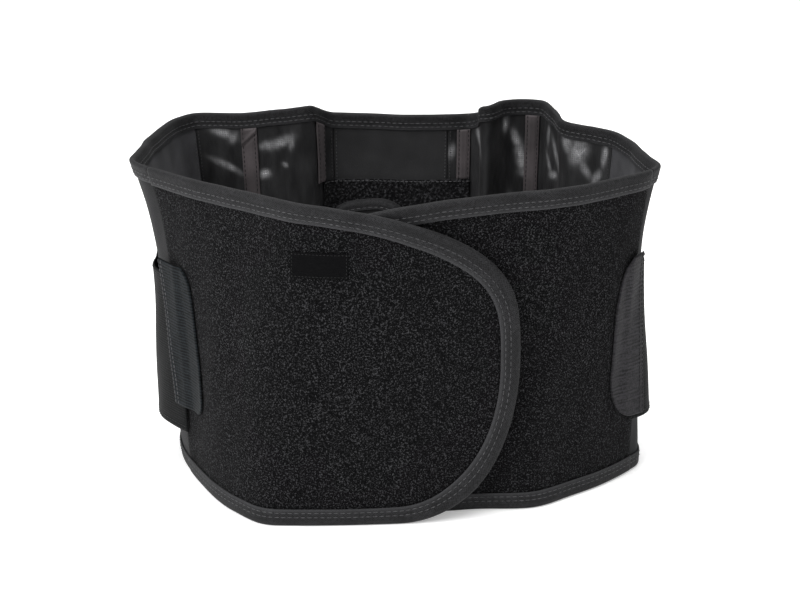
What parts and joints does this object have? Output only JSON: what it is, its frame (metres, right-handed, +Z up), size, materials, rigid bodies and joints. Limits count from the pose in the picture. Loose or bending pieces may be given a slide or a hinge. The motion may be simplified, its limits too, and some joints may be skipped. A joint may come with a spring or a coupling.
{
  "type": "lower back support belt",
  "caption": "Wraparound lower back support belt closed in a loop, with lapped round-ended wings, bound edges, net back panels, stay channels, lumbar pad and side pulls.",
  "frame": {"origin": "centre of the footprint, on the surface that the belt's lower edge stands on", "axes": "+Z up, along the wearer's back; -Y to the belt's front, where the wings lap; +X to the right of a viewer facing that front"},
  "size_m": [0.3582, 0.2464, 0.233],
  "materials": {
    "loop_cloth": "matt brushed loop pile",
    "binding_tape": "matt woven tape",
    "lining_cloth": "smooth matt knit",
    "net": "semi-gloss knitted net",
    "channel_tape": "matt woven sleeve",
    "elastic": "ribbed woven elastic",
    "hook_tab": "ribbed matt band with hooks behind",
    "label_cloth": "smooth woven satin"
  },
  "bodies": {
    "root": {"outer_wing": "loop_cloth", "outer_wing_binding": "binding_tape", "inner_wing": "loop_cloth", "inner_wing_binding": "binding_tape", "left_side_panel": "lining_cloth", "left_net_panel": "net", "centre_panel": "lining_cloth", "right_net_panel": "net", "right_side_panel": "lining_cloth", "back_top_binding": "binding_tape", "back_bottom_binding": "binding_tape", "back_loop_patch": "loop_cloth", "lumbar_pad": "lining_cloth", "lumbar_pad_binding": "binding_tape", "left_channel": "channel_tape", "left_inner_channel": "channel_tape", "right_inner_channel": "channel_tape", "right_channel": "channel_tape", "left_strap": "elastic", "left_strap_tab": "hook_tab", "right_strap": "elastic", "right_strap_tab": "hook_tab", "label": "label_cloth"}
  },
  "joints": []
}
